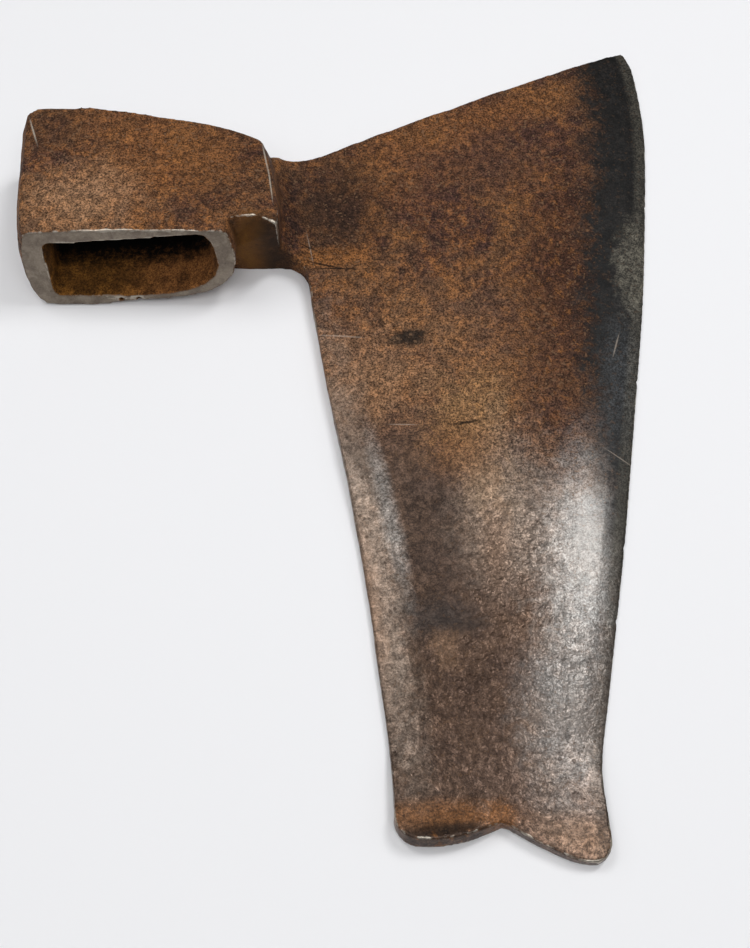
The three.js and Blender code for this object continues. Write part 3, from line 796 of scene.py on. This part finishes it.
def mottle(n, on, colour):
    # fine mottle over everything, less on the pebbled part and on the patches with a painted sheen, and
    # pale specks
    grain, lower = on["grain"], on["lower"]
    darkest = n.range(lower, 0.0, 1.0, 0.22, 0.5)
    palest = n.range(lower, 0.0, 1.0, 1.9, 1.5)
    speckled = n.range(grain["Fine"], 0.0, 1.0, darkest, palest)
    even = 0.0
    for name, share in evenness.items():
        even = n.most(even, n.times(on["patch"][name], share))
    speckled = n.mixValue(even, speckled, 1.0)
    clouded = n.mixValue(even, n.range(grain["Middle"], 0.0, 1.0, 1.32, 0.62), 0.97)
    colour = n.shade(colour, n.times(speckled, clouded))
    pale = n.times(n.range(lower, 0.0, 1.0, 0.4, 0.12), n.rest(n.times(on["band"], 0.8)))
    return n.mix(n.times(grain["Specks"], pale), colour, ironColours["tan"])


def socketColour(n, on, colour):
    # inside of the eye with painted shade deeper in, the neck's hollow face with painted shade on its
    # right, and the filed mouth
    x, grain = on["x"], on["grain"]
    # deeper in the eye the rust turns near black: painted shade
    deep = n.range(n.plus(on["y"], n.times(grain["Middle"], -8.0)), 56.0, 70.0)
    rust = n.mix(n.range(x, -70.0, -100.0), ironColours["orange"], ironColours["eyeRust"])
    inside = n.mix(n.most(deep, n.times(grain["Middle"], 0.4)), rust, ironColours["eyeDark"])
    spots = n.range(grain["Fine"], 0.0, 1.0, 0.4, 1.8)
    spots = n.times(spots, n.range(grain["Patchy"], 0.0, 1.0, 0.6, 1.3))
    colour = n.mix(on["eye"], colour, n.shade(inside, spots))
    # the hollow face under the neck darkens towards its right: painted shade, with dark grain
    hollow = n.mix(n.range(x, -41.0, -27.0), ironColours["hollowRust"], ironColours["hollowDark"])
    hollow = n.mix(n.times(grain["Fine"], 0.6), hollow, ironColours["hollowDark"])
    colour = n.mix(n.times(on["patch"]["recess"], 0.85), colour, hollow)
    clouds = n.scaled(grain["Fine"], 0.3, n.times(grain["Patchy"], 0.5))
    filed = n.mix(clouds, ironColours["filedFace"], ironColours["filedShade"])
    return n.mix(on["mouth"], colour, filed)


def skinRelief(n, on):
    # height of the skin and where it has pits, both less on the rubbed patch with its painted sheen
    lower, patch = on["lower"], on["patch"]
    pebble = n.scaled(patch["pebbled"], 5.5, n.range(lower, 0.0, 1.0, 0.6, 0.9))
    pits = n.scaled(patch["rustPits"], 1.5, n.range(lower, 0.0, 1.0, 0.5, 1.0))
    skin = n.use(
        groups["skin"], Where=on["where"],
        Pebble=n.times(pebble, n.rest(n.times(patch["rubbedSheen"], 0.6))),
        Pits=n.times(pits, n.rest(n.times(patch["rubbedSheen"], 0.85))),
    )
    return n.times(skin["Height"], n.rest(n.times(on["mouth"], 0.85))), skin["Hole"]


def withMarks(n, on, colour, height):
    # scratches, rubbed lines with their painted highlight, and cracks
    where = on["where"]
    for start, end, half in scratches.values():
        scored = line(n, where, start, end, half)
        colour = n.mix(n.times(scored, shows["scratch"]), colour, ironColours["beige"])
    for start, end, half in rubbedGlintLines.values():
        scored = line(n, where, start, end, half)
        colour = n.mix(n.times(scored, shows["rubbedGlintLine"]), colour, ironColours["brightSteelGlint"])
    for start, end, half in cracks.values():
        gap = line(n, where, start, end, half)
        colour = n.mix(n.times(gap, shows["crack"]), colour, ironColours["eyeDark"])
        height = n.less(height, n.times(gap, shows["crackDepth"]))
    return colour, height


def roughness(n, on):
    patch = on["patch"]
    lower = n.range(on["grain"]["Middle"], 0.0, 1.0, *roughOf["lower"])
    rough = n.mixValue(on["lower"], roughOf["rusted"], lower)
    for name in ("rubbedSheen", "smoothDark", "darkLow"):
        rough = n.mixValue(patch[name], rough, roughOf[name])
    rough = n.mixValue(on["band"], rough, n.range(on["y"], *band["rough"]))
    rough = n.mixValue(on["mouth"], rough, roughOf["mouth"])
    rough = n.mixValue(n.most(on["eye"], patch["recess"]), rough, roughOf["inside"])
    return n.mixValue(on["worn"], rough, roughOf["worn"])


def metalness(n, on):
    # the rubbed iron shines as metal, the rust and the band beside it do not
    patch, lower = on["patch"], on["lower"]
    matt = 0.0
    for name in dullPatches:
        matt = n.most(matt, patch[name])
    gloss = n.times(lower, n.rest(n.times(matt, 0.75)))
    metal = n.mixValue(gloss, metalOf["rusted"], metalOf["lower"])
    for name in ("rubbedSheen", "leftRidgeHighlight"):
        metal = n.mixValue(patch[name], metal, metalOf[name])
    metal = n.mixValue(n.times(on["band"], n.rest(lower)), metal, 0.0)
    metal = n.mixValue(on["mouth"], metal, metalOf["mouth"])
    metal = n.mixValue(on["worn"], metal, metalOf["worn"])
    return n.mixValue(on["eye"], metal, 0.0)


def ironMaterial():
    material = bpy.data.materials.new("forgedIron")
    material.use_nodes = True
    tree = material.node_tree
    tree.nodes.clear()
    n = Nodes(tree)
    on = readings(n)
    on["band"] = edgeBand(n, on)
    on["worn"] = wornGlintArrises(n, on)

    colour = bandColour(n, on, rustColour(n, on))
    colour = socketColour(n, on, mottle(n, on, colour))
    height, hole = skinRelief(n, on)
    colour = n.mix(n.times(hole, shows["pit"]), colour, ironColours["darkBrown"])
    colour, height = withMarks(n, on, colour, height)
    # arrises painted bright: worn metal and painted highlight
    colour = n.mix(n.times(on["worn"], shows["worn"]), colour, ironColours["brightSteelGlint"])
    colour = n.mix(n.times(on["hollow"], shows["hollow"]), colour, ironColours["eyeDark"])

    shader = n.add("ShaderNodeBsdfPrincipled")
    n.join(colour, shader.inputs["Base Color"])
    n.join(roughness(n, on), shader.inputs["Roughness"])
    n.join(metalness(n, on), shader.inputs["Metallic"])
    shader.inputs["Specular IOR Level"].default_value = surface["specular"]
    bump = n.add("ShaderNodeBump")
    bump.inputs["Strength"].default_value = surface["bump"]
    bump.inputs["Distance"].default_value = surface["bumpHeight"]
    n.join(height, bump.inputs["Height"])
    n.join(bump.outputs[0], shader.inputs["Normal"])
    output = n.add("ShaderNodeOutputMaterial")
    n.join(shader.outputs[0], output.inputs["Surface"])
    return material


forged = makeHead(head)
forged.data.materials.append(ironMaterial())
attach(forged, "root")
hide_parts(head["node"])
print("axe head made")


# floor, light and camera

# the paper lies just below the head, so that their faces stay apart
paper = {
    "size": 6.0, "drop": 0.05 * mm, "colour": linear(238, 238, 240),
    "rough": 0.7, "specular": 0.1,
}
lights = {
    "window": {"place": (0.56, 0.42, 1.24), "aim": (0.09, -0.06, 0), "size": (0.2, 0.5), "power": 6.8},
    "leftFill": {"place": (-0.6, 0.42, 1.3), "aim": (0.04, -0.1, 0), "size": (0.45, 0.6), "power": 4.8},
    "leftSoft": {"place": (-1.8, 0.1, 1.3), "aim": (0, 0, 0), "size": (1.2, 1.0), "power": 4.0},
    "rightSoft": {"place": (1.8, -0.1, 1.3), "aim": (0, 0, 0), "size": (1.2, 1.0), "power": 2.5},
    "frontSoft": {"place": (0.1, -0.8, 1.9), "aim": (0, 0, 0), "size": (1.6, 1.0), "power": 16.0},
    "overhead": {"place": (0, 0, 1.7), "aim": (0, 0, 0), "size": (2.6, 2.6), "power": 4.5},
}
sky = {"colour": (0.95, 0.97, 1.0, 1), "strength": 0.1}
lens = {"place": (0.015055, -0.27428, 0.52505), "tilt": 25.0, "length": 55.0, "nearest": 0.01}


def makeFloor(piece):
    bpy.ops.mesh.primitive_plane_add(size=piece["size"])
    floor = bpy.context.active_object
    floor.name = "paper"
    floor.location.z = -piece["drop"]
    material = bpy.data.materials.new("paper")
    material.use_nodes = True
    shader = material.node_tree.nodes["Principled BSDF"]
    shader.inputs["Base Color"].default_value = piece["colour"]
    shader.inputs["Roughness"].default_value = piece["rough"]
    shader.inputs["Specular IOR Level"].default_value = piece["specular"]
    floor.data.materials.append(material)


def makeLight(name, light):
    place = Vector(light["place"])
    aim = (Vector(light["aim"]) - place).to_track_quat("-Z", "Y")
    bpy.ops.object.light_add(type="AREA", location=place, rotation=aim.to_euler())
    made = bpy.context.active_object
    made.name = name
    made.data.shape = "RECTANGLE"
    made.data.size, made.data.size_y = light["size"]
    made.data.energy = light["power"]


def makeSky(piece):
    world = bpy.data.worlds.new("sky")
    world.use_nodes = True
    back = world.node_tree.nodes["Background"]
    back.inputs["Color"].default_value = piece["colour"]
    back.inputs["Strength"].default_value = piece["strength"]
    bpy.context.scene.world = world


def makeCamera(piece):
    bpy.ops.object.camera_add(location=piece["place"], rotation=(math.radians(piece["tilt"]), 0, 0))
    camera = bpy.context.active_object
    camera.data.lens = piece["length"]
    camera.data.clip_start = piece["nearest"]
    bpy.context.scene.camera = camera


makeFloor(paper)
for name, light in lights.items():
    makeLight(name, light)
makeSky(sky)
makeCamera(lens)
bpy.context.scene.view_settings.view_transform = "Standard"
print("floor, light and camera made")
